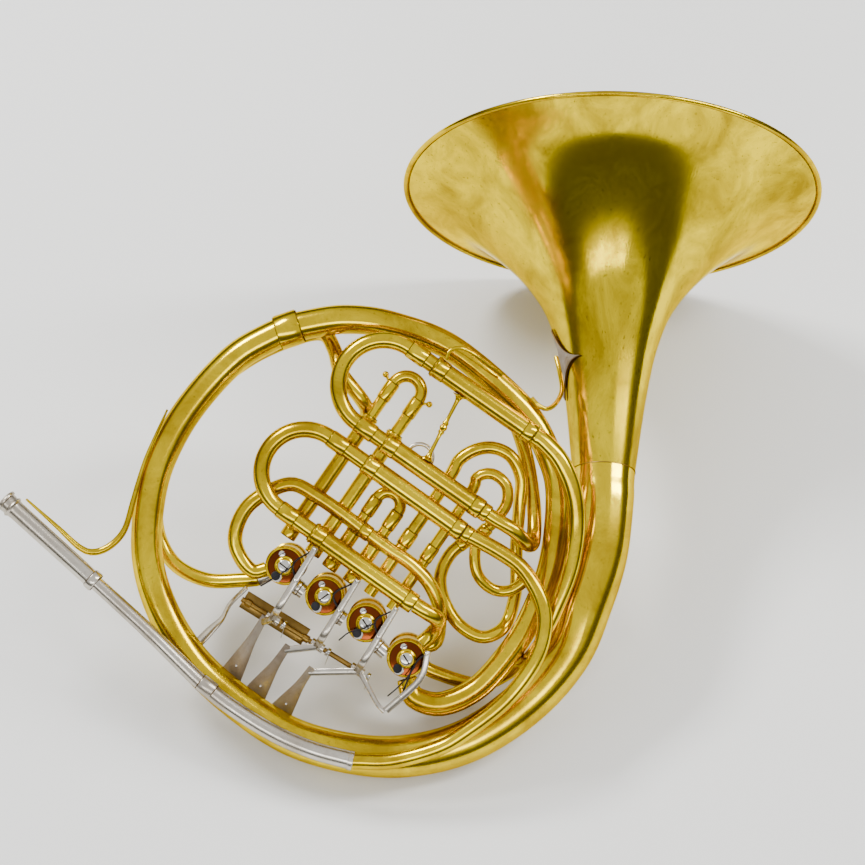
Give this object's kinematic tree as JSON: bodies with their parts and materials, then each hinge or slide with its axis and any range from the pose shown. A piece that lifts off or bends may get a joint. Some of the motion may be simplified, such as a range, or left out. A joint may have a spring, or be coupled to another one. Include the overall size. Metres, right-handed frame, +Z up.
{
  "type": "french horn",
  "caption": "Four-valve french horn of bare brass with string-worked rotary valves, finger levers and pull slides, lying on its bell rim and tail.",
  "frame": {"origin": "on the floor, under the middle of the horn's bounding box", "axes": "+Z up; +X to the player's bell side in the view of the valve caps; +Y towards the bell along the floor"},
  "size_m": [0.5884, 0.4464, 0.3037],
  "materials": {
    "bell_brass": "satin, cloudy patina",
    "brass": "bare, hand-polished with brown tarnish",
    "nickel_silver": "dull nickel silver",
    "dark_fitting": "dark polished",
    "string": "matt braided"
  },
  "bodies": {
    "horn": {"bell_brace": "brass", "bell_flare": "bell_brass", "bell_gusset": "nickel_silver", "bell_rim_bead": "brass", "bell_tail": "brass", "finger_ring": "nickel_silver", "hinge_rod": "dark_fitting", "hinge_saddle": "dark_fitting", "horn_slide_lower_sleeve": "brass", "horn_slide_upper_sleeve": "brass", "main_branch": "brass", "main_slide_elbow": "brass", "main_slide_lower_sleeve": "brass", "main_slide_upper_sleeve": "brass", "mouthpiece_receiver": "nickel_silver", "mouthpipe": "nickel_silver", "mouthpipe_extension": "brass", "mouthpipe_stay": "brass", "return_tube": "brass", "slide_down_tube": "brass", "tail_ferrule": "brass", "turned_brace": "brass", "upper_stay": "brass", "valve_1_casing": "brass", "valve_1_plate": "dark_fitting", "valve_1_slide_lower_sleeve": "brass", "valve_1_slide_upper_sleeve": "brass", "valve_2_casing": "brass", "valve_2_plate": "dark_fitting", "valve_2_slide_lower_sleeve": "brass", "valve_2_slide_upper_sleeve": "brass", "valve_3_casing": "brass", "valve_3_inner_loop": "brass", "valve_3_outer_loop": "brass", "valve_3_plate": "dark_fitting", "valve_4_casing": "brass", "valve_4_plate": "dark_fitting", "valve_four_link": "brass", "valve_link_1": "nickel_silver", "valve_link_2": "nickel_silver", "valve_link_3": "nickel_silver", "valve_one_bow": "brass", "valve_one_inlet": "brass"},
    "horn_slide": {"horn_slide_crook": "brass"},
    "lever_1": {"lever_1": "nickel_silver", "valve_1_string": "string"},
    "lever_2": {"lever_2": "nickel_silver", "valve_2_string": "string"},
    "lever_3": {"lever_3": "nickel_silver", "valve_3_string": "string"},
    "main_slide": {"main_slide_crook": "brass"},
    "thumb_lever": {"thumb_lever": "nickel_silver", "valve_4_string": "string", "valve_four_arm": "nickel_silver"},
    "rotor_1": {"valve_1_rotor": "brass"},
    "valve_1_slide": {"valve_1_slide_crook": "brass"},
    "rotor_2": {"valve_2_rotor": "brass"},
    "valve_2_slide": {"valve_2_slide_crook": "brass"},
    "rotor_3": {"valve_3_rotor": "brass"},
    "rotor_4": {"valve_4_rotor": "brass"}
  },
  "joints": [
    {"name": "main_slide_pull", "type": "slide", "parent": "horn", "child": "main_slide", "axis": [-0.8215, 0.4902, 0.2913], "range_m": [0, 0.045]},
    {"name": "horn_slide_pull", "type": "slide", "parent": "horn", "child": "horn_slide", "axis": [-0.8264, 0.4842, 0.2874], "range_m": [0, 0.045]},
    {"name": "valve_1_slide_pull", "type": "slide", "parent": "horn", "child": "valve_1_slide", "axis": [0.5583, 0.694, 0.4545], "range_m": [0, 0.011]},
    {"name": "valve_2_slide_pull", "type": "slide", "parent": "horn", "child": "valve_2_slide", "axis": [0.5583, 0.694, 0.4545], "range_m": [0, 0.015]},
    {"name": "lever_1_press", "type": "hinge", "parent": "horn", "child": "lever_1", "pos_m": [-0.10323, -0.12559, 0.06965], "axis": [0.8576, -0.4434, -0.2607], "range_deg": [0, 8], "stiffness_Nm_per_rad": 0.12, "springref_deg": -20.05},
    {"name": "lever_2_press", "type": "hinge", "parent": "horn", "child": "lever_2", "pos_m": [-0.07216, -0.14166, 0.0602], "axis": [0.8576, -0.4434, -0.2607], "range_deg": [0, 8], "stiffness_Nm_per_rad": 0.12, "springref_deg": -20.05},
    {"name": "lever_3_press", "type": "hinge", "parent": "horn", "child": "lever_3", "pos_m": [-0.04426, -0.15608, 0.05172], "axis": [0.8576, -0.4434, -0.2607], "range_deg": [0, 8], "stiffness_Nm_per_rad": 0.12, "springref_deg": -20.05},
    {"name": "thumb_lever_press", "type": "hinge", "parent": "horn", "child": "thumb_lever", "pos_m": [-0.12867, -0.11244, 0.07738], "axis": [0.8576, -0.4434, -0.2607], "range_deg": [0, 8], "stiffness_Nm_per_rad": 0.12, "springref_deg": -20.05},
    {"name": "rotor_1_turn", "type": "hinge", "parent": "horn", "child": "rotor_1", "pos_m": [-0.09444, -0.09074, 0.08489], "axis": [-0.0206, -0.5361, 0.8439], "range_deg": [0, 90]},
    {"name": "rotor_2_turn", "type": "hinge", "parent": "horn", "child": "rotor_2", "pos_m": [-0.06667, -0.10847, 0.07431], "axis": [-0.0206, -0.5361, 0.8439], "range_deg": [0, 90]},
    {"name": "rotor_3_turn", "type": "hinge", "parent": "horn", "child": "rotor_3", "pos_m": [-0.03794, -0.12408, 0.06509], "axis": [-0.0206, -0.5361, 0.8439], "range_deg": [0, 90]},
    {"name": "rotor_4_turn", "type": "hinge", "parent": "horn", "child": "rotor_4", "pos_m": [-0.00962, -0.14476, 0.05265], "axis": [-0.0206, -0.5361, 0.8439], "range_deg": [0, 90]}
  ],
  "couplings": [
    {"joint": "rotor_1_turn", "follows": "lever_1_press", "ratio": 11.25},
    {"joint": "rotor_2_turn", "follows": "lever_2_press", "ratio": 11.25},
    {"joint": "rotor_3_turn", "follows": "lever_3_press", "ratio": 11.25},
    {"joint": "rotor_4_turn", "follows": "thumb_lever_press", "ratio": 11.25}
  ]
}
